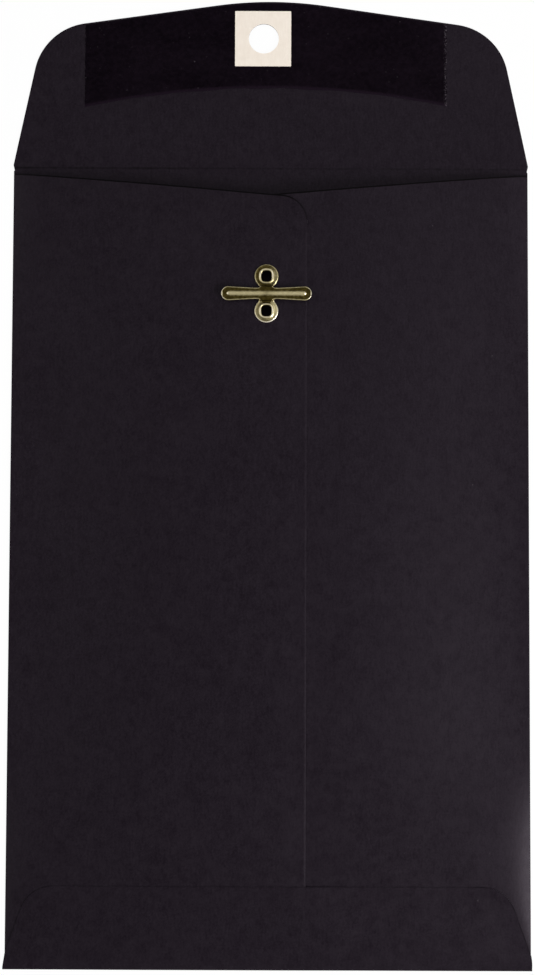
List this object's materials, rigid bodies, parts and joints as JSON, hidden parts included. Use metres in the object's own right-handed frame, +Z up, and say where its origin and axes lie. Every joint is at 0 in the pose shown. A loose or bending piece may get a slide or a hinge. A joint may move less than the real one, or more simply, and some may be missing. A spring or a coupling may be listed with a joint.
{
  "type": "clasp envelope",
  "caption": "Open-end paper envelope with a lapped centre seam, a gummed folding flap with a reinforced hole, and a stamped metal clasp whose prongs bend over to hold it shut.",
  "frame": {"origin": "on the surface that the envelope lies on, under the middle of its open length and width", "axes": "+Z up out of the clasp side, +Y towards the closing flap, +X to the right seen from the clasp side"},
  "size_m": [0.149, 0.2768, 0.0077],
  "materials": {
    "black_paper": "matte",
    "dried_gum": "satin",
    "cream_card": "matte",
    "clear_glue": "satin",
    "antique_brass": "satin"
  },
  "bodies": {
    "envelope": {"back_panel": "black_paper", "left_front_panel": "black_paper", "right_front_panel": "black_paper", "bottom_flap": "black_paper", "seam_glue": "clear_glue", "bottom_flap_glue": "clear_glue", "clasp_base": "antique_brass"},
    "flap": {"closure_flap": "black_paper", "flap_gum": "dried_gum", "hole_patch": "cream_card"},
    "left_prong": {"clasp_left_prong": "antique_brass"},
    "right_prong": {"clasp_right_prong": "antique_brass"}
  },
  "joints": [
    {"name": "flap_crease", "type": "hinge", "parent": "envelope", "child": "flap", "pos_m": [0, 0.0902, 0.00349], "axis": [1, 0, 0], "range_deg": [0, 180]},
    {"name": "left_prong_bend", "type": "hinge", "parent": "envelope", "child": "left_prong", "pos_m": [-0.0031, 0.0522, 0.00773], "axis": [0, 1, 0], "range_deg": [0, 90]},
    {"name": "right_prong_bend", "type": "hinge", "parent": "envelope", "child": "right_prong", "pos_m": [0.0009, 0.0522, 0.00773], "axis": [0, -1, 0], "range_deg": [0, 90]}
  ]
}
